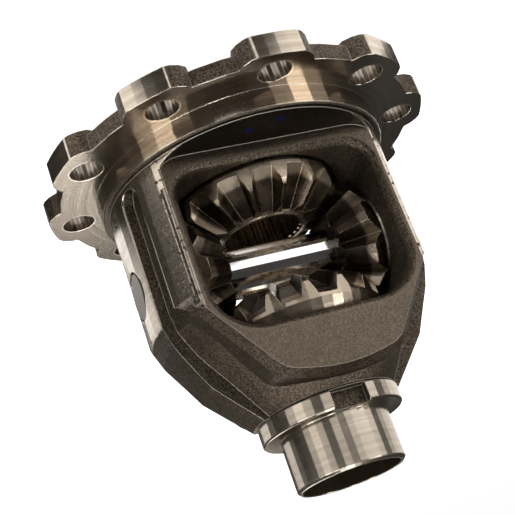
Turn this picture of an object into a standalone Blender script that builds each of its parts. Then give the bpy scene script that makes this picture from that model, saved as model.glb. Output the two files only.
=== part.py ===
"""Open bevel-gear differential: one cast case with two windows, a cross shaft and its lock pin,
two side gears, two pinion gears and their thrust washers. Metres, +Z along the axle axis.

The case stands on its flange-side journal. Heights along the axis are measured from the ring-gear
seat (the flange face that the pilot rises from) and moved up by SEAT_Z when a piece is placed.
"""

import math

import bmesh
import bpy
from mathutils import Vector

MM = 0.001

# ---- Driving sizes (mm) -------------------------------------------------------------------------
SEAT_Z = 37.0            # world height of the ring-gear seat above the foot of the lower journal
CENTRE = 44.5            # gear centre above the seat: all four pitch cones meet here
TOP = 130.6              # end of the hub-side journal above the seat

LOBES = 10
BOLT_CIRCLE_R = 67.2
BOLT_HOLE_R = 6.2
LOBE_R = 78.0
LOBE_HALF_DEG = 6.2      # machined outer face of one lobe, either side of its bolt hole
LOBE_ROOT_DEG = 11.5     # where the cast side of a lobe has run down to the rim
LOBE_THICK = 9.0
RIM_R = 72.5
RIM_THICK = 6.5

PILOT_R = 58.0
PILOT_H = 8.3
BARREL_R = 55.3          # machined lands
CORE_R = 51.0            # cast ground between the lands
TAPER_START = 62.0

COLLAR_R = 27.0
COLLAR_FOOT = 104.4
COLLAR_TOP = 110.8
LOWER_COLLAR_TOP = -13.5
LOWER_COLLAR_FOOT = -17.5
JOURNAL_R = 20.65
JOURNAL_CHAMFER = 1.0
AXLE_BORE_R = 18.8

CAVITY_R = 45.0          # spherical seat of the pinion washers
SEAT_OFFSET = 33.5       # side-gear washer seat, from the gear centre
POCKET_R = 33.4
GEAR_HUB_BORE_R = 21.15
GEAR_HUB_END = 51.5      # shoulder between hub bore and axle bore, from the gear centre

PAD_Y = 35.5             # flat faces round the two windows
PAD_HALF_X = 46.0
PAD_CORNER_R = 13.0
WINDOW_HALF_X = 38.3
WINDOW_FOOT = 15.2
WINDOW_TOP = 77.3
WINDOW_FOOT_R = 10.0
WINDOW_TOP_R = 17.0
RIM_ROUND = 3.6          # rounding of a window's rim into its flat pad
RIM_STEPS = 5

SHAFT_R = 9.5
SHAFT_BORE_R = 9.62
SHAFT_HALF = 54.8
PIN_R = 2.4
PIN_HOLE_R = 2.55
PIN_X = -51.2
PIN_FOOT = 31.0
PIN_TOP = 57.0
PIN_HOLE_TOP = 57.6

# ---- Bevel teeth --------------------------------------------------------------------------------
SIDE_TEETH = 15
PINION_TEETH = 9
PRESSURE = math.radians(30)
SIDE_PITCH = math.atan2(SIDE_TEETH, PINION_TEETH)     # pitch cone half-angles
PINION_PITCH = math.pi / 2 - SIDE_PITCH
CONE_LENGTH = 42.0                                    # apex to heel along the pitch cone
MODULE = 2 * CONE_LENGTH * math.sin(SIDE_PITCH) / SIDE_TEETH
MODULE_ANGLE = MODULE / CONE_LENGTH
SIDE_ADDENDUM = 0.07                                  # in modules: the pinion has it nearly all
PINION_ADDENDUM = 1.02
ROOT_CLEARANCE = 0.13
BACKLASH = 0.07                                       # mm off each flank at the heel
PINION_THICKENING = 3.0                               # mm a flank, given by the side gear
THINNEST_TOOTH = 0.003                                # radians left between two gap cutters
FLANK_POINTS = 6
ARC_STEPS = 4             # facets of a rounded corner

ROUND = 48               # facets of the large turned surfaces
BORE_FACETS = 36
BOLT_FACETS = 20
PIN_FACETS = 16
BEYOND = 70.0            # reach of a cutter that has to clear the whole case
SPLINE_TEETH = 30
SPLINE_MINOR_R = 15.4
SPLINE_MAJOR_R = 16.6

HALF_TURN = math.pi
QUARTER_TURN = math.pi / 2
SHARP_ABOVE = math.radians(32)     # edges that stay crisp under smooth shading


def clear_scene():
    for old in list(bpy.data.objects):
        bpy.data.objects.remove(old)


def collection(name):
    made = bpy.data.collections.new(name)
    bpy.context.scene.collection.children.link(made)
    return made


clear_scene()
PARTS = collection("differential_gear_assembly")
CUTTERS = collection("cutters")


def material(name, colour, roughness, metallic):
    made = bpy.data.materials.new(name)
    made.use_nodes = True
    shader = made.node_tree.nodes["Principled BSDF"]
    shader.inputs["Base Color"].default_value = (*colour, 1.0)
    shader.inputs["Roughness"].default_value = roughness
    shader.inputs["Metallic"].default_value = metallic
    return made


def add_object(name, mesh, group):
    made = bpy.data.objects.new(name, mesh)
    group.objects.link(made)
    return made


def as_cutter(made):
    made.hide_render = True
    made.display_type = "WIRE"
    return made


def polyline_mesh(name, points):
    """An open run of edges in the XZ plane from (radius, height) pairs in mm."""
    mesh = bpy.data.meshes.new(name)
    verts = [(r * MM, 0.0, z * MM) for r, z in points]
    mesh.from_pydata(verts, [(i, i + 1) for i in range(len(verts) - 1)], [])
    return mesh


def revolve(name, points, group, facets=ROUND):
    """A solid turned about Z; points run down the outer side, top to bottom, axis to axis."""
    made = add_object(name, polyline_mesh(name, points), group)
    turn = made.modifiers.new("turn", "SCREW")
    turn.steps = facets
    turn.render_steps = facets
    turn.use_merge_vertices = True
    turn.merge_threshold = 0.00001
    turn.use_smooth_shade = False
    return made


def loft(name, rings, group):
    """A closed body through rings of equal point count (mm), capped at both ends."""
    shape = bmesh.new()
    layers = [[shape.verts.new(Vector(p) * MM) for p in ring] for ring in rings]
    for low, high in zip(layers, layers[1:]):
        for i in range(len(low)):
            j = (i + 1) % len(low)
            shape.faces.new((low[i], low[j], high[j], high[i]))
    shape.faces.new(reversed(layers[0]))
    shape.faces.new(layers[-1])
    return finish_mesh(name, shape, group)


def finish_mesh(name, shape, group):
    bmesh.ops.recalc_face_normals(shape, faces=shape.faces)
    mesh = bpy.data.meshes.new(name)
    shape.to_mesh(mesh)
    shape.free()
    return add_object(name, mesh, group)


def prism_x(name, outline, half, group):
    """Outline (y, z) in mm extruded along X from -half to +half."""
    rings = [[(x, y, z) for y, z in outline] for x in (-half, half)]
    return loft(name, rings, group)


def cylinder(name, radius, z_from, z_to, group, facets=BORE_FACETS):
    """A plain round bar along Z, on the object's own origin."""
    return revolve(name, [(0, z_to), (radius, z_to), (radius, z_from), (0, z_from)], group, facets)


def arc(cx, cy, radius, deg_from, deg_to, count):
    """Points on a circle, both ends included."""
    step = (deg_to - deg_from) / count
    angles = [math.radians(deg_from + step * i) for i in range(count + 1)]
    return [(cx + radius * math.cos(a), cy + radius * math.sin(a)) for a in angles]


def combine(target, tool, operation, solver="EXACT"):
    step = target.modifiers.new(f"{operation.lower()}_{tool.name}", "BOOLEAN")
    step.operation = operation
    step.solver = solver
    step.object = as_cutter(tool)


def cut(target, *tools, solver="EXACT"):
    for tool in tools:
        combine(target, tool, "DIFFERENCE", solver)


def join(target, *tools):
    for tool in tools:
        combine(target, tool, "UNION")


def place(made, z=CENTRE, x=0.0, rotation=(0.0, 0.0, 0.0)):
    made.location = (x * MM, 0.0, (SEAT_Z + z) * MM)
    made.rotation_euler = rotation
    return made


def smooth_by_angle():
    """Node group: smooth faces, with edges over SHARP_ABOVE left sharp."""
    group = bpy.data.node_groups.new("smooth_by_angle", "GeometryNodeTree")
    for way in ("INPUT", "OUTPUT"):
        group.interface.new_socket("Geometry", in_out=way, socket_type="NodeSocketGeometry")
    start = group.nodes.new("NodeGroupInput")
    end = group.nodes.new("NodeGroupOutput")
    faces = group.nodes.new("GeometryNodeSetShadeSmooth")
    edges = group.nodes.new("GeometryNodeSetShadeSmooth")
    edges.domain = "EDGE"
    angle = group.nodes.new("GeometryNodeInputMeshEdgeAngle")
    shallow = group.nodes.new("FunctionNodeCompare")
    shallow.operation = "LESS_EQUAL"
    shallow.inputs["B"].default_value = SHARP_ABOVE
    group.links.new(start.outputs[0], faces.inputs["Geometry"])
    group.links.new(faces.outputs[0], edges.inputs["Geometry"])
    group.links.new(angle.outputs["Unsigned Angle"], shallow.inputs["A"])
    group.links.new(shallow.outputs[0], edges.inputs["Shade Smooth"])
    group.links.new(edges.outputs[0], end.inputs[0])
    return group


SMOOTHING = smooth_by_angle()


def finish(made, surface):
    made.data.materials.append(surface)
    made.modifiers.new("smooth_by_angle", "NODES").node_group = SMOOTHING
    return made


# ---- Case ---------------------------------------------------------------------------------------
def core_profile():
    """Cast body between the machined lands, flange rim, collars and journals."""
    return [
        (0, TOP),
        (JOURNAL_R - JOURNAL_CHAMFER, TOP),
        (JOURNAL_R, TOP - JOURNAL_CHAMFER),
        (JOURNAL_R, COLLAR_TOP),
        (COLLAR_R - 0.6, COLLAR_TOP),
        (COLLAR_R, COLLAR_TOP - 0.6),
        (COLLAR_R, COLLAR_FOOT),
        (COLLAR_R - 0.8, COLLAR_FOOT - 1.2),
        (30.0, 97.5),
        (37.0, 86.5),
        (44.5, 76.0),
        (CORE_R - 1.2, TAPER_START + 4),
        (CORE_R, TAPER_START - 3),
        (CORE_R, PILOT_H + 4),
        (CORE_R + 1.5, PILOT_H),
        (PILOT_R - 0.7, PILOT_H),
        (PILOT_R, PILOT_H - 0.7),
        (PILOT_R, 0),
        (RIM_R, 0),
        (RIM_R, -RIM_THICK),
        (BOLT_CIRCLE_R - 8.5, -RIM_THICK),
        (47.0, -RIM_THICK - 2.0),
        (36.0, -11.5),
        (COLLAR_R + 3, LOWER_COLLAR_TOP),
        (COLLAR_R, LOWER_COLLAR_TOP - 0.8),
        (COLLAR_R, LOWER_COLLAR_FOOT + 0.6),
        (COLLAR_R - 0.6, LOWER_COLLAR_FOOT),
        (JOURNAL_R, LOWER_COLLAR_FOOT),
        (JOURNAL_R, -SEAT_Z + JOURNAL_CHAMFER),
        (JOURNAL_R - JOURNAL_CHAMFER, -SEAT_Z),
        (0, -SEAT_Z),
    ]


def land_profile():
    """Outer skin of the machined lands and of the ribs that carry on from them to the collar."""
    return [
        (0, COLLAR_FOOT - 0.4),
        (28.4, COLLAR_FOOT - 0.4),
        (43.0, 88.0),
        (52.2, 71.0),
        (BARREL_R - 0.4, TAPER_START + 1),
        (BARREL_R, TAPER_START - 1),
        (BARREL_R, PILOT_H - 2),
        (0, PILOT_H - 2),
    ]


def groove_outline(side):
    """Cast ground beside one rib (y, z): a slot up the barrel that opens out round the taper."""
    inner, outer, crown = 13.5, 24.3, PILOT_H + 7.0
    middle = (inner + outer) / 2
    radius = (outer - inner) / 2
    crown_arc = arc(middle, crown, radius, 0, -180, 8)
    outline = [
        *crown_arc,
        (inner, TAPER_START),
        (10.5, 80.0),
        (8.5, COLLAR_FOOT + 2),
        (62.0, COLLAR_FOOT + 2),
        (62.0, 70.5),
        (PAD_Y, 70.0),
        (outer, 61.0),
    ]
    return [(side * y, z) for y, z in outline]


def lobe_body(index):
    """One bolt lobe: turned outer face, cast sides easing down to the rim."""
    centre = math.radians(-90 + 360 / LOBES * index)
    edge = math.radians(LOBE_HALF_DEG)
    root = math.radians(LOBE_ROOT_DEG)
    inner = BOLT_CIRCLE_R - 9.0
    half_outline = [
        (edge, LOBE_R),
        (edge + 0.35 * (root - edge), LOBE_R - 1.0),
        (edge + 0.72 * (root - edge), LOBE_R - 3.2),
        (root, RIM_R - 0.6),
        (root, inner),
    ]
    face = [(a, LOBE_R) for a in (-edge / 2, 0.0, edge / 2)]
    outline = [(-a, r) for a, r in reversed(half_outline)] + face + half_outline
    ring = [(r * math.cos(centre + a), r * math.sin(centre + a)) for a, r in outline]
    rings = [[(x, y, z) for x, y in ring] for z in (-LOBE_THICK, -0.0)]
    return loft(f"lobe_{index}", rings, CUTTERS)


def rounded(corners):
    """Replace each (x, z, radius) corner of an open path with an arc; radius 0 keeps the corner."""
    path = []
    for i, (x, z, radius) in enumerate(corners):
        here = Vector((x, z))
        if radius == 0:
            path.append((x, z))
            continue
        back = (Vector(corners[i - 1][:2]) - here).normalized()
        ahead = (Vector(corners[i + 1][:2]) - here).normalized()
        half = back.angle(ahead) / 2
        middle = here + (back + ahead).normalized() * radius / math.sin(half)
        start = here + back * radius / math.tan(half) - middle
        turn = math.pi - 2 * half
        sense = 1 if back.x * ahead.y - back.y * ahead.x < 0 else -1
        first = math.atan2(start.y, start.x)
        steps = ARC_STEPS
        path += [
            (
                middle.x + radius * math.cos(first + sense * turn * k / steps),
                middle.y + radius * math.sin(first + sense * turn * k / steps),
            )
            for k in range(steps + 1)
        ]
    return path


def tongue_outline(grow):
    """Flat pad round a window and the tongue that runs from it toward the hub (x, z)."""
    half = 42.8 + grow
    right = [(half, 20.0, 0), (half, 66.0, 8.0), (21.8 + 0.8 * grow, 95.2 + 0.6 * grow, 11.0)]
    tip = [(0.0, 100.2 + grow, 60.0)]
    left = [(-x, z, radius) for x, z, radius in reversed(right)]
    return rounded(right + tip + left)


def tongue_body(side):
    proud, foot, heart = PAD_Y + 1.0, PAD_Y - 5.0, 16.0
    sections = ((proud, -0.4), (foot, 2.4), (heart, 2.4))
    rings = [[(x, side * y, z) for x, z in tongue_outline(grow)] for y, grow in sections]
    return loft(f"tongue_{'front' if side < 0 else 'back'}", rings, CUTTERS)


def flat_outline():
    """Milling path of the flat face (x, z): straight sides, rounded corners beside the pilot."""
    foot = PILOT_H + 0.2
    low_right = arc(PAD_HALF_X - PAD_CORNER_R, foot + PAD_CORNER_R, PAD_CORNER_R, 0, -90, 6)
    low_left = [(-x, z) for x, z in reversed(low_right)]
    above = COLLAR_FOOT - 0.2
    return low_right + low_left + [(-PAD_HALF_X, above), (PAD_HALF_X, above)]


def flat_cutter(side):
    rings = [[(x, side * y, z) for x, z in flat_outline()] for y in (PAD_Y, BEYOND)]
    return loft(f"flat_{'front' if side < 0 else 'back'}", rings, CUTTERS)


def window_outline(grow):
    """Window opening (x, z), widened by grow all round."""
    half, foot, top = WINDOW_HALF_X + grow, WINDOW_FOOT - grow, WINDOW_TOP + grow
    foot_r, top_r = WINDOW_FOOT_R + grow, WINDOW_TOP_R + grow
    right_low = arc(half - foot_r, foot + foot_r, foot_r, -90, 0, 6)
    right_high = arc(half - top_r, top - top_r, top_r, 0, 90, 8)
    right = right_low + right_high
    return right + [(-x, z) for x, z in reversed(right)]


def window_cutter():
    """Straight through the case, flaring into both flat pads with a rounded rim."""
    turns = [QUARTER_TURN * step / RIM_STEPS for step in range(RIM_STEPS + 1)]
    flare = [
        (PAD_Y - RIM_ROUND * (1 - math.sin(turn)), RIM_ROUND * (1 - math.cos(turn)))
        for turn in turns
    ]
    half = [*flare, (BEYOND, RIM_ROUND)]
    sections = [(-y, grow) for y, grow in reversed(half)] + half
    rings = [[(x, y, z) for x, z in window_outline(grow)] for y, grow in sections]
    return loft("window", rings, CUTTERS)


def cavity_profile():
    """Everything turned from the inside: bores, washer seats and the spherical chamber."""
    seat_low, seat_high = CENTRE - SEAT_OFFSET, CENTRE + SEAT_OFFSET
    edge = math.degrees(math.asin(POCKET_R / CAVITY_R))
    sphere = arc(0, CENTRE, CAVITY_R, 90 - edge, edge - 90, 12)
    return [
        (0, TOP + 2),
        (AXLE_BORE_R, TOP + 2),
        (AXLE_BORE_R, CENTRE + GEAR_HUB_END),
        (GEAR_HUB_BORE_R, CENTRE + GEAR_HUB_END),
        (GEAR_HUB_BORE_R, seat_high),
        (POCKET_R, seat_high),
        *sphere,
        (POCKET_R, seat_low),
        (GEAR_HUB_BORE_R, seat_low),
        (GEAR_HUB_BORE_R, CENTRE - GEAR_HUB_END),
        (AXLE_BORE_R, CENTRE - GEAR_HUB_END),
        (AXLE_BORE_R, -SEAT_Z - 2),
        (0, -SEAT_Z - 2),
    ]


def bolt_holes():
    """All bolt holes of the flange as one cutter of separate round bars."""
    shape = bmesh.new()
    for index in range(LOBES):
        angle = math.radians(-90 + 360 / LOBES * index)
        made = bmesh.ops.create_cone(
            shape,
            cap_ends=True,
            segments=BOLT_FACETS,
            radius1=BOLT_HOLE_R * MM,
            radius2=BOLT_HOLE_R * MM,
            depth=3 * LOBE_THICK * MM,
        )
        centre = Vector((math.cos(angle), math.sin(angle), 0.0)) * BOLT_CIRCLE_R * MM
        bmesh.ops.translate(shape, verts=made["verts"], vec=centre)
    return finish_mesh("bolt_holes", shape, CUTTERS)


def collar_notches():
    """Oil notches cast across the upper collar, one under each window."""
    half, floor = 6.8, 22.4
    outline = [(-half, COLLAR_FOOT - 0.3), (half, COLLAR_FOOT - 0.3), (half, 115.0), (-half, 115.0)]
    made = []
    for name, side in (("front", -1), ("back", 1)):
        rings = [[(x, side * y, z) for x, z in outline] for y in (floor, COLLAR_R + 4)]
        made.append(loft(f"notch_{name}", rings, CUTTERS))
    return made


def build_case():
    case = revolve("case", core_profile(), PARTS)
    lands = revolve("lands", land_profile(), CUTTERS)
    for name, side in (("front", -1), ("back", 1)):
        cut(lands, prism_x(f"groove_{name}", groove_outline(side), BEYOND, CUTTERS))
    join(case, lands)
    join(case, *(lobe_body(index) for index in range(LOBES)))
    join(case, tongue_body(-1), tongue_body(1))
    cut(case, flat_cutter(-1), flat_cutter(1))
    cut(case, revolve("cavity", cavity_profile(), CUTTERS))
    window = window_cutter()
    cross_bore = cylinder("cross_bore", SHAFT_BORE_R, -BEYOND, BEYOND, CUTTERS)
    cross_bore.rotation_euler = (0, QUARTER_TURN, 0)
    cross_bore.location = (0, 0, CENTRE * MM)
    pin_hole = cylinder("pin_hole", PIN_HOLE_R, -20, PIN_HOLE_TOP, CUTTERS, PIN_FACETS)
    pin_hole.location = (PIN_X * MM, 0, 0)
    # EXACT leaves open edges from here on, where the turned and flat faces all meet.
    openings = (window, cross_bore, pin_hole, bolt_holes(), *collar_notches())
    cut(case, *openings, solver="MANIFOLD")
    for tool in CUTTERS.objects:
        tool.location.z += SEAT_Z * MM
    place(case, z=0)
    return finish(case, material("cast_iron", (0.20, 0.18, 0.16), 0.55, 0.9))


# ---- Gears --------------------------------------------------------------------------------------
def involute_turn(polar, base):
    """Azimuth swept by a spherical involute between its base cone and a polar angle."""
    swept = math.acos(min(1.0, math.cos(polar) / math.cos(base))) / math.sin(base)
    return swept - math.acos(min(1.0, math.tan(base) / math.tan(polar)))


def gap_half_width(polar, teeth, pitch):
    """Half the azimuth of a tooth gap at a polar angle; below the base cone the flank is radial."""
    base = math.asin(math.sin(pitch) * math.cos(PRESSURE))
    reached = max(polar, base + 1e-6)
    given = PINION_THICKENING if teeth == SIDE_TEETH else -PINION_THICKENING
    thinning = (BACKLASH + given) / (CONE_LENGTH * math.sin(pitch))
    tooth = HALF_TURN / (2 * teeth) - thinning
    tooth += involute_turn(pitch, base) - involute_turn(reached, base)
    return HALF_TURN / teeth - max(tooth, THINNEST_TOOTH)


def gap_ring(distance, teeth, pitch, root, tip, centre):
    """Outline of one tooth gap on the sphere of the given radius about the apex."""
    overrun = 0.035
    span = tip + overrun - root
    polars = [root + span * i / (FLANK_POINTS - 1) for i in range(FLANK_POINTS)]
    flank = [(p, gap_half_width(p, teeth, pitch)) for p in polars]
    outline = [(p, centre - w) for p, w in reversed(flank)] + [(p, centre + w) for p, w in flank]
    return [
        (
            distance * math.sin(p) * math.cos(a),
            distance * math.sin(p) * math.sin(a),
            distance * math.cos(p),
        )
        for p, a in outline
    ]


def gap_cutter(name, teeth, pitch, root, tip, start):
    """All tooth gaps of a gear: wedges that narrow toward the apex, one gap on local +X."""
    shape = bmesh.new()
    for index in range(teeth):
        centre = 2 * HALF_TURN * index / teeth
        near = gap_ring(start, teeth, pitch, root, tip, centre)
        far = gap_ring(1.22 * CONE_LENGTH, teeth, pitch, root, tip, centre)
        low = [shape.verts.new(Vector(p) * MM) for p in near]
        high = [shape.verts.new(Vector(p) * MM) for p in far]
        count = len(low)
        for i in range(count):
            j = (i + 1) % count
            shape.faces.new((low[i], low[j], high[j], high[i]))
        for i in range(count // 2 - 1):
            j = count - 1 - i
            shape.faces.new((low[i], low[j], low[j - 1], low[i + 1]))
            shape.faces.new((high[i + 1], high[j - 1], high[j], high[i]))
    return finish_mesh(name, shape, CUTTERS)


def on_cone(distance, polar):
    return (distance * math.sin(polar), distance * math.cos(polar))


def spline_bore(name, z_from, z_to):
    """Straight-sided internal spline through a side gear."""
    pitch = 2 * HALF_TURN / SPLINE_TEETH
    root_share, crest_share = 0.16, 0.34              # half-widths, in pitches
    pattern = (
        (-crest_share, SPLINE_MINOR_R),
        (-root_share, SPLINE_MAJOR_R),
        (root_share, SPLINE_MAJOR_R),
        (crest_share, SPLINE_MINOR_R),
    )
    ring = [(r, (i + share) * pitch) for i in range(SPLINE_TEETH) for share, r in pattern]
    rings = [[(r * math.cos(a), r * math.sin(a), z) for r, a in ring] for z in (z_from, z_to)]
    return loft(name, rings, CUTTERS)


def side_gear(name, surface):
    root = SIDE_PITCH - (PINION_ADDENDUM + ROOT_CLEARANCE) * MODULE_ANGLE
    tip = SIDE_PITCH + SIDE_ADDENDUM * MODULE_ANGLE
    crown, ring_r, heel_r, rim_r, rim_z = 13.5, 18.2, 33.3, 32.4, 30.6
    back, hub_r, hub_end = SEAT_OFFSET - 1.25, 20.95, GEAR_HUB_END - 0.5
    toe = crown + 0.4                                 # plane that all tooth ends lie in
    heel_tip = (31.8, 31.8 / math.tan(tip))
    profile = [
        (0, crown),
        (ring_r - 0.4, crown),
        (ring_r, toe),
        (toe * math.tan(tip), toe),
        heel_tip,
        (heel_r, heel_tip[1] + 2.2),
        (heel_r, 28.0),
        (rim_r, rim_z),
        (rim_r - 0.8, back),
        (hub_r, back),
        (hub_r, hub_end - 0.8),
        (hub_r - 0.8, hub_end),
        (0, hub_end),
    ]
    outer_down = [(r, z) for r, z in reversed(profile)]
    gear = revolve(name, outer_down, PARTS)
    outside_ring = 1.01 * ring_r / math.sin(root)
    cut(gear, gap_cutter(f"{name}_gaps", SIDE_TEETH, SIDE_PITCH, root, tip, outside_ring))
    cut(gear, spline_bore(f"{name}_spline", crown - 2, hub_end + 2))
    mouth_r = SPLINE_MAJOR_R + 0.15
    mouth = [(0, crown + 0.9), (mouth_r - 0.9, crown + 0.9), (mouth_r + 0.1, crown - 0.1), (0, crown - 0.1)]
    cut(gear, revolve(f"{name}_mouth", mouth, CUTTERS))
    return finish(gear, surface)


def pinion_gear(name, surface):
    root = PINION_PITCH - (SIDE_ADDENDUM + ROOT_CLEARANCE) * MODULE_ANGLE
    tip = PINION_PITCH + PINION_ADDENDUM * MODULE_ANGLE
    toe, heel, back_r, shoulder_r, bore_r = 22.6, 41.0, 43.5, 21.6, 9.65
    start = math.degrees(math.asin(shoulder_r / back_r))
    back = [(back_r * math.sin(math.radians(a)), back_r * math.cos(math.radians(a))) for a in (12.8, 18, 24)]
    shoulder = (shoulder_r, back_r * math.cos(math.radians(start)))
    profile = [
        (0, back[0][1]),
        *back,
        shoulder,
        on_cone(heel, tip),
        (toe * math.tan(tip), toe),
        (0, toe),
    ]
    gear = revolve(name, profile, PARTS, BORE_FACETS)
    cut(gear, gap_cutter(f"{name}_gaps", PINION_TEETH, PINION_PITCH, root, tip, 0.85 * toe))
    cut(gear, cylinder(f"{name}_bore", bore_r, 10, 60, CUTTERS))
    return finish(gear, surface)


# ---- Shaft, pin and washers ---------------------------------------------------------------------
def cross_shaft():
    end, edge = SHAFT_HALF, 0.8
    profile = [(0, end), (SHAFT_R - edge, end), (SHAFT_R, end - edge)]
    profile += [(r, -z) for r, z in reversed(profile)]
    shaft = revolve("cross_shaft", profile, PARTS, BORE_FACETS)
    shaft.rotation_euler = (0, QUARTER_TURN, 0)
    hole = cylinder("shaft_pin_hole", PIN_HOLE_R, -20, 20, CUTTERS, PIN_FACETS)
    hole.location = (PIN_X * MM, 0, (SEAT_Z + CENTRE) * MM)
    cut(shaft, hole)
    place(shaft, rotation=shaft.rotation_euler)
    return finish(shaft, material("ground_steel", (0.72, 0.70, 0.68), 0.12, 1.0))


def lock_pin():
    edge = 0.5
    top, foot = PIN_TOP - CENTRE, PIN_FOOT - CENTRE
    profile = [(0, top), (PIN_R - edge, top), (PIN_R, top - edge), (PIN_R, foot + edge)]
    profile += [(PIN_R - edge, foot), (0, foot)]
    pin = revolve("lock_pin", profile, PARTS, PIN_FACETS)
    place(pin, x=PIN_X)
    return finish(pin, material("pin_steel", (0.35, 0.34, 0.33), 0.35, 1.0))


def side_washer(name, surface):
    outer, inner = 31.0, 21.6
    near, far = SEAT_OFFSET - 1.1, SEAT_OFFSET - 0.1
    washer = revolve(name, [(0, far), (outer, far), (outer, near), (0, near)], PARTS)
    cut(washer, cylinder(f"{name}_bore", inner, near - 2, far + 2, CUTTERS, ROUND))
    return finish(washer, surface)


def pinion_washer(name, surface):
    """A dished washer between two spheres about the gear centre."""
    inner_r, outer_r = CAVITY_R - 1.2, CAVITY_R - 0.2
    rim, bore = math.radians(28.5), 10.0
    polars = [rim * i / 4 for i in range(5)]
    outside = [(outer_r * math.sin(a), outer_r * math.cos(a)) for a in polars]
    inside = [(inner_r * math.sin(a), inner_r * math.cos(a)) for a in reversed(polars)]
    washer = revolve(name, outside + inside, PARTS, BORE_FACETS)
    cut(washer, cylinder(f"{name}_bore", bore, 30, 60, CUTTERS))
    return finish(washer, surface)


def follow(made, tools_named):
    """Cutters of a piece travel with it."""
    for tool in CUTTERS.objects:
        if tool.name.startswith(tools_named + "_"):
            tool.location = made.location
            tool.rotation_euler = made.rotation_euler


def main():
    build_case()
    cross_shaft()
    lock_pin()
    forged = material("forged_steel", (0.42, 0.37, 0.32), 0.35, 1.0)
    washer_surface = material("washer_steel", (0.50, 0.44, 0.36), 0.30, 1.0)
    turns = {
        "side_gear_flange": (0, HALF_TURN, 0),
        "side_gear_hub": (0, 0, 0),
        "pinion_left": (0, QUARTER_TURN, 0),
        "pinion_right": (0, -QUARTER_TURN, 0),
        "side_washer_flange": (0, HALF_TURN, 0),
        "side_washer_hub": (0, 0, 0),
        "pinion_washer_left": (0, QUARTER_TURN, 0),
        "pinion_washer_right": (0, -QUARTER_TURN, 0),
    }
    makers = {
        "side_gear": (side_gear, forged),
        "pinion_washer": (pinion_washer, washer_surface),
        "side_washer": (side_washer, washer_surface),
        "pinion": (pinion_gear, forged),
    }
    for name, rotation in turns.items():
        kind = next(kind for kind in makers if name.startswith(kind))
        maker, surface = makers[kind]
        made = place(maker(name, surface), rotation=rotation)
        follow(made, name)


main()
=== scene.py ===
"""Studio scene of the differential gear assembly: procedural metals on the CAD frame."""

import math

import bpy
from mathutils import Euler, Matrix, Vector


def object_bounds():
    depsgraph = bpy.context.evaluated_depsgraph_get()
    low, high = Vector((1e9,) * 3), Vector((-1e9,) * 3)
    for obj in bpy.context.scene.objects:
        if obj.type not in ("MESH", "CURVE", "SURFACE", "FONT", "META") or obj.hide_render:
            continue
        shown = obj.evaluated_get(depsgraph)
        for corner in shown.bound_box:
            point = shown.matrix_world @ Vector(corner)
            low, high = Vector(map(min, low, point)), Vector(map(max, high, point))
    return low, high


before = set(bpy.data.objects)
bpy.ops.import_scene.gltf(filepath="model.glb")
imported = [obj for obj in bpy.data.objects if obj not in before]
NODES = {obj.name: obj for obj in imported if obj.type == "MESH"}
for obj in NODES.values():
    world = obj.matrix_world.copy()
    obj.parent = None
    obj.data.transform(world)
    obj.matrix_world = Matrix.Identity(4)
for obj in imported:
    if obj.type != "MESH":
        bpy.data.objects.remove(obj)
CAD_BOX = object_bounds()

# ---- Sizes of the part that the finishes follow, in metres ---------------------------------------
MM = 0.001
SEAT = 37.0 * MM                  # height of the ring-gear seat
GEAR_CENTRE = SEAT + 44.5 * MM
BOLTS = 10
BOLT_CIRCLE = 67.2 * MM
BOLT_HOLE = 6.2 * MM
LOBE_FACE = 77.6 * MM
PILOT = 57.4 * MM
PILOT_TOP = SEAT + 8.3 * MM
LAND = 54.7 * MM
PAD = 35.5 * MM
COLLAR_FOOT = SEAT + 104.2 * MM
LOWER_COLLAR = SEAT - 13.4 * MM
BORE = 21.6 * MM
COLLAR_TOP = SEAT + 110.8 * MM
COLLAR_SKIN = 26.3 * MM
NOTCH = 7.0 * MM
PIT_REACH = 47.0 * MM
SHAFT_END = 54.0 * MM
PAINT_DABS = ((8.2 * MM, -44.7 * MM), (-3.3 * MM, -49.1 * MM))     # inspection marks on the ledge
DAB = 1.7 * MM

# ---- Studio settings -----------------------------------------------------------------------------
CAMERA_PLACE = (0.14395, -0.38097, 0.23115)
CAMERA_TURN = (-67.874, -18.716, -167.433)      # degrees about X, Y and Z
CAMERA_LENS = 78.53                             # millimetres on a 36 mm sensor
FLAG_SPANS = ((-100, -84), (-70, -44), (-12, 40), (66, 112), (182, 206))    # degrees round the part
FLAG_STEPS = 8                                  # straight pieces along each card's edge
SOFT = 0.15 * MM                  # width over which one finish turns into another


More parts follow.
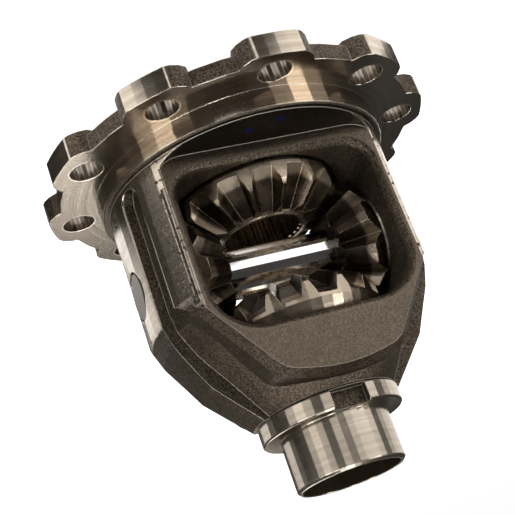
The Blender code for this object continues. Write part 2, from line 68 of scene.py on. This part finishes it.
# ---- Node graphs ---------------------------------------------------------------------------------
class Graph:
    """A material's node tree, with one Principled shader and short calls for what feeds it."""

    def __init__(self, name):
        self.material = bpy.data.materials.new(name)
        self.material.use_nodes = True
        self.tree = self.material.node_tree
        self.shader = self.tree.nodes["Principled BSDF"]
        coordinates = self.node("ShaderNodeTexCoord")
        self.place = coordinates.outputs["Object"]
        parts = self.node("ShaderNodeSeparateXYZ")
        self.tree.links.new(self.place, parts.inputs[0])
        self.x, self.y, self.z = parts.outputs
        facing = self.node("ShaderNodeSeparateXYZ")
        self.tree.links.new(coordinates.outputs["Normal"], facing.inputs[0])
        self.nx, self.ny, self.nz = (self.math("ABSOLUTE", part) for part in facing.outputs)
        self.radius = self.length(self.x, self.y)

    def node(self, kind):
        return self.tree.nodes.new(kind)

    def feed(self, socket, value):
        if isinstance(value, bpy.types.NodeSocket):
            self.tree.links.new(value, socket)
        else:
            socket.default_value = value

    def math(self, operation, *values):
        made = self.node("ShaderNodeMath")
        made.operation = operation
        for socket, value in zip(made.inputs, values):
            self.feed(socket, value)
        return made.outputs[0]

    def length(self, a, b):
        return self.math("SQRT", self.math("ADD", self.math("MULTIPLY", a, a), self.math("MULTIPLY", b, b)))

    def step(self, value, low, high, out_low=0.0, out_high=1.0):
        """Smooth step of value from low to high."""
        made = self.node("ShaderNodeMapRange")
        made.interpolation_type = "SMOOTHSTEP"
        for socket, setting in zip(made.inputs, (value, low, high, out_low, out_high)):
            self.feed(socket, setting)
        return made.outputs[0]

    def above(self, value, edge, soft=SOFT):
        return self.step(value, edge - soft, edge + soft)

    def below(self, value, edge, soft=SOFT):
        return self.step(value, edge - soft, edge + soft, 1.0, 0.0)

    def all_of(self, first, *others):
        for other in others:
            first = self.math("MULTIPLY", first, other)
        return first

    def any_of(self, first, *others):
        for other in others:
            first = self.math("MAXIMUM", first, other)
        return first

    def noise(self, scale, detail=4.0, roughness=0.55, along=None):
        """Noise through space, or along one coordinate when that is given."""
        made = self.node("ShaderNodeTexNoise")
        if along is None:
            self.feed(made.inputs["Vector"], self.place)
        else:
            made.noise_dimensions = "1D"
            self.feed(made.inputs["W"], along)
        made.inputs["Scale"].default_value = scale
        made.inputs["Detail"].default_value = detail
        made.inputs["Roughness"].default_value = roughness
        return made.outputs[0]

    def pits(self, scale):
        made = self.node("ShaderNodeTexVoronoi")
        self.feed(made.inputs["Vector"], self.place)
        made.inputs["Scale"].default_value = scale
        return made.outputs["Distance"]

    def mix(self, share, a, b):
        made = self.node("ShaderNodeMix")
        made.data_type = "RGBA"
        self.feed(made.inputs["Factor"], share)
        for socket, value in zip((made.inputs[6], made.inputs[7]), (a, b)):
            self.feed(socket, value if isinstance(value, bpy.types.NodeSocket) else (*value, 1.0))
        return made.outputs[2]

    def blend(self, share, a, b):
        made = self.node("ShaderNodeMix")
        for socket, value in zip(made.inputs[:1] + made.inputs[2:4], (share, a, b)):
            self.feed(socket, value)
        return made.outputs[0]

    def rounded_edges(self, radius):
        made = self.node("ShaderNodeBevel")
        made.samples = 6
        self.feed(made.inputs["Radius"], radius)
        return made.outputs[0]

    def edge(self, radius, low=0.02, high=0.20):
        """1 on a sharp edge, falling to 0 within radius of it."""
        surface = self.node("ShaderNodeNewGeometry").outputs["Normal"]
        dot = self.node("ShaderNodeVectorMath")
        dot.operation = "DOT_PRODUCT"
        self.feed(dot.inputs[0], self.rounded_edges(radius))
        self.feed(dot.inputs[1], surface)
        return self.step(self.math("SUBTRACT", 1.0, dot.outputs["Value"]), low, high)

    def bump(self, height, distance, normal=None, strength=1.0):
        made = self.node("ShaderNodeBump")
        self.feed(made.inputs["Height"], height)
        made.inputs["Distance"].default_value = distance
        self.feed(made.inputs["Strength"], strength)
        if normal is not None:
            self.feed(made.inputs["Normal"], normal)
        return made.outputs[0]

    def finish(self, colour, roughness, metallic, normal):
        self.feed(self.shader.inputs["Base Color"], colour)
        self.feed(self.shader.inputs["Roughness"], roughness)
        self.feed(self.shader.inputs["Metallic"], metallic)
        self.feed(self.shader.inputs["Normal"], normal)
        return self.material


def bolt_distance(graph):
    """Distance from the axis of the nearest bolt hole, from one sector repeated round the flange."""
    sector = 2 * math.pi / BOLTS
    angle = graph.math("ADD", graph.math("ARCTAN2", graph.y, graph.x), math.pi / 2 + sector / 2)
    local = graph.math("SUBTRACT", graph.math("FLOORED_MODULO", angle, sector), sector / 2)
    across = graph.math("MULTIPLY", graph.radius, graph.math("SINE", local))
    out = graph.math("MULTIPLY", graph.radius, graph.math("COSINE", local))
    return graph.length(across, graph.math("SUBTRACT", out, BOLT_CIRCLE))


def case_finish():
    """As-cast iron, turned bright wherever the case is machined."""
    g = Graph("case_iron")
    seat_face = g.all_of(
        g.above(g.z, SEAT - 0.3 * MM),
        g.below(g.z, SEAT + 0.3 * MM),
        g.above(g.radius, PILOT),
    )
    pilot = g.all_of(g.above(g.z, SEAT), g.below(g.z, PILOT_TOP - 0.5 * MM), g.above(g.radius, PILOT))
    lobes = g.above(g.radius, LOBE_FACE)
    lands = g.all_of(g.above(g.radius, LAND), g.above(g.z, PILOT_TOP + 0.3 * MM))
    collar = g.above(g.z, COLLAR_FOOT)
    foot = g.below(g.z, LOWER_COLLAR)
    bore = g.below(g.radius, BORE)
    from_bolt = bolt_distance(g)
    shaded_hole = g.below(from_bolt, BOLT_HOLE + 0.1 * MM)
    chamfer_highlight = g.all_of(g.above(from_bolt, BOLT_HOLE), g.below(from_bolt, BOLT_HOLE + 0.8 * MM))
    notch = g.all_of(g.above(g.z, COLLAR_FOOT - 0.2 * MM), g.below(g.z, COLLAR_TOP + 0.2 * MM),
                     g.below(g.math("ABSOLUTE", g.x), NOTCH), g.below(g.radius, COLLAR_SKIN),
                     g.above(g.math("ABSOLUTE", g.y), BORE - 0.4 * MM))
    turned = g.any_of(seat_face, pilot, lobes, lands, collar, foot, bore)

    # Cast skin: sand grain, soft blotches and a few open pits.
    grain = g.noise(1500.0, 6.0, 0.7)
    blotch = g.noise(70.0, 4.0, 0.6)
    pits = g.step(g.pits(330.0), 0.06, 0.20)
    skin = g.mix(g.step(grain, 0.34, 0.70), (0.018, 0.013, 0.009), (0.205, 0.165, 0.122))
    skin = g.mix(g.step(blotch, 0.35, 0.75, 0.0, 0.50), skin, (0.050, 0.037, 0.026))
    pad = g.all_of(g.above(g.math("ABSOLUTE", g.y), PAD - 0.4 * MM), g.above(g.ny, 0.90, 0.05),
                   g.below(g.radius, LAND))
    skin = g.mix(g.math("MULTIPLY", pad, 0.40), skin, (0.235, 0.190, 0.140))

    ledge = g.all_of(g.above(g.z, PILOT_TOP - 0.1 * MM), g.below(g.z, PILOT_TOP + 0.5 * MM),
                     g.above(g.nz, 0.7, 0.1), g.above(g.math("ABSOLUTE", g.y), PAD))
    # The step face under the pilot is painted near-black here: painted shade of the corner under the flange.
    skin = g.mix(g.math("MULTIPLY", ledge, 0.75), skin, (0.012, 0.009, 0.007))
    ragged = g.math("MULTIPLY", g.noise(420.0, 3.0), 1.6 * MM)
    for x, y in PAINT_DABS:
        away = g.length(g.math("SUBTRACT", g.x, x), g.math("SUBTRACT", g.y, y))
        dab = g.all_of(ledge, g.below(g.math("ADD", away, ragged), DAB + 0.8 * MM, 0.4 * MM))
        skin = g.mix(g.math("MULTIPLY", dab, 0.85), skin, (0.010, 0.022, 0.230))

    # Turning marks run round the axis: rings on faces, hoops on cylinders.
    on_face = g.above(g.nz, 0.70, 0.1)
    feed_line = g.blend(on_face, g.z, g.radius)
    marks = g.noise(5200.0, 2.0, 0.5, along=feed_line)
    bands = g.noise(420.0, 3.0, 0.6, along=feed_line)
    bright = g.mix(bands, (0.31, 0.255, 0.195), (0.55, 0.480, 0.395))
    stain = g.step(g.noise(38.0, 5.0, 0.65), 0.55, 0.78, 0.0, 0.35)
    bright = g.mix(stain, bright, (0.20, 0.135, 0.080))

    # Casting pits that the cut left behind in the lands, mostly beside the flat pads.
    beside_pad = g.below(g.math("ABSOLUTE", g.x), PIT_REACH, 2.0 * MM)
    pit_level = g.blend(beside_pad, 0.76, 0.61)
    open_pits = g.all_of(lands, g.above(g.math("SUBTRACT", g.noise(520.0, 3.0, 0.5), pit_level), 0.0, 0.02))
    # Hole walls are painted near-black: painted shade inside the bolt holes.
    bright = g.mix(shaded_hole, bright, (0.075, 0.058, 0.042))
    # A pale ring round each hole mouth: painted highlight standing for a bevelled rim that the mesh lacks.
    bright = g.mix(chamfer_highlight, bright, (0.66, 0.59, 0.50))
    marks = g.blend(shaded_hole, marks, 0.5)
    turned = g.math("MULTIPLY", turned, g.math("SUBTRACT", 1.0, open_pits))
    turned = g.math("MULTIPLY", turned, g.math("SUBTRACT", 1.0, notch))
    turned = g.any_of(turned, shaded_hole)

    # Sharp edges are painted pale: partly rubbed wear, partly painted highlight where rounded edges catch the
    # light.
    wear_and_highlight = g.edge(0.5 * MM)
    colour = g.mix(turned, skin, bright)
    colour = g.mix(g.math("MULTIPLY", wear_and_highlight, 0.75), colour, (0.66, 0.60, 0.51))
    rough = g.blend(turned, g.step(grain, 0.2, 0.8, 0.62, 0.40), g.step(marks, 0.3, 0.7, 0.16, 0.26))
    cast_relief = g.math("MULTIPLY", g.math("ADD", grain, pits), 0.5)
    height = g.blend(turned, cast_relief, g.math("MULTIPLY", marks, 0.025))
    normal = g.bump(height, 0.35 * MM, g.rounded_edges(0.6 * MM), 0.9)
    around = g.node("ShaderNodeTangent")
    around.direction_type = "RADIAL"
    around.axis = "Z"
    g.feed(g.shader.inputs["Tangent"], around.outputs[0])
    g.shader.inputs["Anisotropic"].default_value = 0.6
    return g.finish(colour, rough, 1.0, normal)


def gear_finish():
    """Forged and cut gear steel, dark on the teeth from painted shade and pale on the edges from wear and
    painted highlight.
    """
    g = Graph("gear_steel")
    apart = g.math("SUBTRACT", g.z, GEAR_CENTRE)
    reach = g.length(g.length(g.x, g.y), apart)
    heel = g.any_of(g.above(reach, 37.5 * MM, 0.8 * MM), g.below(g.radius, 18.6 * MM))
    grain = g.noise(900.0, 4.0, 0.6)
    blotch = g.noise(120.0, 3.0, 0.6)
    # Teeth are painted dark: painted shade of the gaps between teeth and of the inside of the case; heel
    # faces and the bore keep the pale steel.
    dark = g.mix(blotch, (0.030, 0.022, 0.016), (0.130, 0.098, 0.070))
    pale = g.mix(blotch, (0.28, 0.225, 0.165), (0.44, 0.365, 0.280))
    # Sharp edges are painted pale: partly rubbed wear, partly painted highlight.
    wear_and_highlight = g.edge(0.45 * MM)
    colour = g.mix(g.any_of(heel, g.math("MULTIPLY", wear_and_highlight, 0.85)), dark, pale)
    rough = g.step(blotch, 0.3, 0.7, 0.22, 0.36)
    normal = g.bump(grain, 0.06 * MM, g.rounded_edges(0.35 * MM), 0.7)
    return g.finish(colour, rough, 1.0, normal)


def ground_finish():
    """Mirror-ground shaft with faint grinding hoops along X."""
    g = Graph("ground_shaft")
    hoops = g.noise(2600.0, 2.0, 0.5, along=g.x)
    blotch = g.noise(60.0, 3.0, 0.5)
    colour = g.mix(blotch, (0.66, 0.63, 0.60), (0.82, 0.80, 0.77))
    # The stubs past SHAFT_END sit in the case bores and are painted near-black: painted shade of the bores.
    shaded_ends = g.above(g.math("ABSOLUTE", g.x), SHAFT_END)
    colour = g.mix(shaded_ends, colour, (0.075, 0.058, 0.042))
    rough = g.blend(shaded_ends, g.step(hoops, 0.3, 0.7, 0.07, 0.15), 0.40)
    normal = g.bump(hoops, 0.02 * MM, g.rounded_edges(0.4 * MM), 0.5)
    return g.finish(colour, rough, 1.0, normal)


def washer_finish():
    """Satin washer steel with a lapped, mottled face."""
    g = Graph("washer_satin")
    grain = g.noise(700.0, 4.0, 0.6)
    colour = g.mix(grain, (0.34, 0.29, 0.23), (0.56, 0.50, 0.42))
    rough = g.step(grain, 0.3, 0.7, 0.25, 0.42)
    return g.finish(colour, rough, 1.0, g.bump(grain, 0.04 * MM, g.rounded_edges(0.2 * MM), 0.6))


def pin_finish():
    g = Graph("pin_satin")
    hoops = g.noise(3000.0, 2.0, 0.5, along=g.z)
    colour = g.mix(hoops, (0.26, 0.25, 0.24), (0.44, 0.43, 0.41))
    rough = g.step(hoops, 0.3, 0.7, 0.28, 0.45)
    return g.finish(colour, rough, 1.0, g.bump(hoops, 0.03 * MM, g.rounded_edges(0.2 * MM), 0.6))


# ---- Studio --------------------------------------------------------------------------------------
def studio_floor():
    g = Graph("studio_floor")
    tone = g.mix(g.noise(3.0, 2.0), (0.90, 0.90, 0.90), (0.94, 0.94, 0.94))
    material = g.finish(tone, 0.9, 0.0, g.bump(g.noise(30.0), 0.01 * MM))
    g.shader.inputs["Emission Color"].default_value = (1.0, 1.0, 1.0, 1.0)
    g.shader.inputs["Emission Strength"].default_value = 0.92
    mesh = bpy.data.meshes.new("floor")
    reach, level = 6.0, CAD_BOX[0][2] - 0.2 * MM
    corners = [(-reach, -reach, level), (reach, -reach, level), (reach, reach, level), (-reach, reach, level)]
    mesh.from_pydata(corners, [], [(0, 1, 2, 3)])
    mesh.materials.append(material)
    floor = bpy.data.objects.new("floor", mesh)
    bpy.context.scene.collection.objects.link(floor)


def studio_flags():
    """Dark cards lying round the part, seen only in reflections, that give the turned metal its bands."""
    g = Graph("studio_flag")
    black = g.mix(g.noise(4.0), (0.010, 0.008, 0.006), (0.020, 0.016, 0.012))
    g.finish(black, 0.9, 0.0, g.bump(g.noise(30.0), 0.01 * MM))
    level, near, far = CAD_BOX[0][2] + 0.2 * MM, 0.090, 1.6
    mesh = bpy.data.meshes.new("flags")
    corners, faces = [], []
    for start, stop in FLAG_SPANS:
        for k in range(FLAG_STEPS + 1):
            a = math.radians(start + (stop - start) * k / FLAG_STEPS)
            corners += [(r * math.cos(a), r * math.sin(a), level) for r in (near, far)]
        first = len(corners) - 2 * (FLAG_STEPS + 1)
        starts = range(first, first + 2 * FLAG_STEPS, 2)
        faces += [(low, low + 1, low + 3, low + 2) for low in starts]
    mesh.from_pydata(corners, [], faces)
    mesh.materials.append(g.material)
    flags = bpy.data.objects.new("flags", mesh)
    bpy.context.scene.collection.objects.link(flags)
    flags.visible_camera = False
    flags.visible_diffuse = False
    flags.visible_shadow = False


def studio_light(name, azimuth, elevation, distance, size, power):
    """A rectangular soft box aimed at the gear centre."""
    light = bpy.data.lights.new(name, "AREA")
    light.shape = "RECTANGLE"
    light.size, light.size_y = size
    light.energy = power
    made = bpy.data.objects.new(name, light)
    bpy.context.scene.collection.objects.link(made)
    a, e = math.radians(azimuth), math.radians(elevation)
    away = Vector((math.cos(e) * math.cos(a), math.cos(e) * math.sin(a), math.sin(e)))
    target = Vector((0.0, 0.0, GEAR_CENTRE))
    made.location = target + distance * away
    made.rotation_euler = (-away).to_track_quat("-Z", "Y").to_euler()


def studio():
    world = bpy.data.worlds.new("studio")
    world.use_nodes = True
    world.node_tree.nodes["Background"].inputs["Color"].default_value = (1.0, 1.0, 1.0, 1.0)
    world.node_tree.nodes["Background"].inputs["Strength"].default_value = 0.05
    bpy.context.scene.world = world
    bpy.context.scene.view_settings.view_transform = "Standard"
    studio_floor()
    studio_flags()
    studio_light("key", -25, 42, 0.9, (0.30, 0.60), 4.2)
    studio_light("fill", -135, 30, 0.9, (0.25, 0.60), 3.0)
    studio_light("strip", -75, 72, 0.8, (0.10, 0.70), 2.0)
    studio_light("back", 90, 45, 1.0, (0.50, 0.50), 4.0)


def camera():
    lens = bpy.data.cameras.new("camera")
    lens.sensor_width = 36.0
    lens.lens = CAMERA_LENS
    lens.clip_start = 0.01
    made = bpy.data.objects.new("camera", lens)
    made.location = CAMERA_PLACE
    made.rotation_euler = Euler([math.radians(angle) for angle in CAMERA_TURN])
    bpy.context.scene.collection.objects.link(made)
    bpy.context.scene.camera = made


def dress():
    gears, washers = gear_finish(), washer_finish()
    finishes = {
        "case": case_finish(),
        "cross_shaft": ground_finish(),
        "lock_pin": pin_finish(),
    }
    for name, piece in NODES.items():
        if name in finishes:
            surface = finishes[name]
        elif "washer" in name:
            surface = washers
        else:
            surface = gears
        for slot in piece.material_slots:
            slot.material = surface


camera()
studio()
dress()
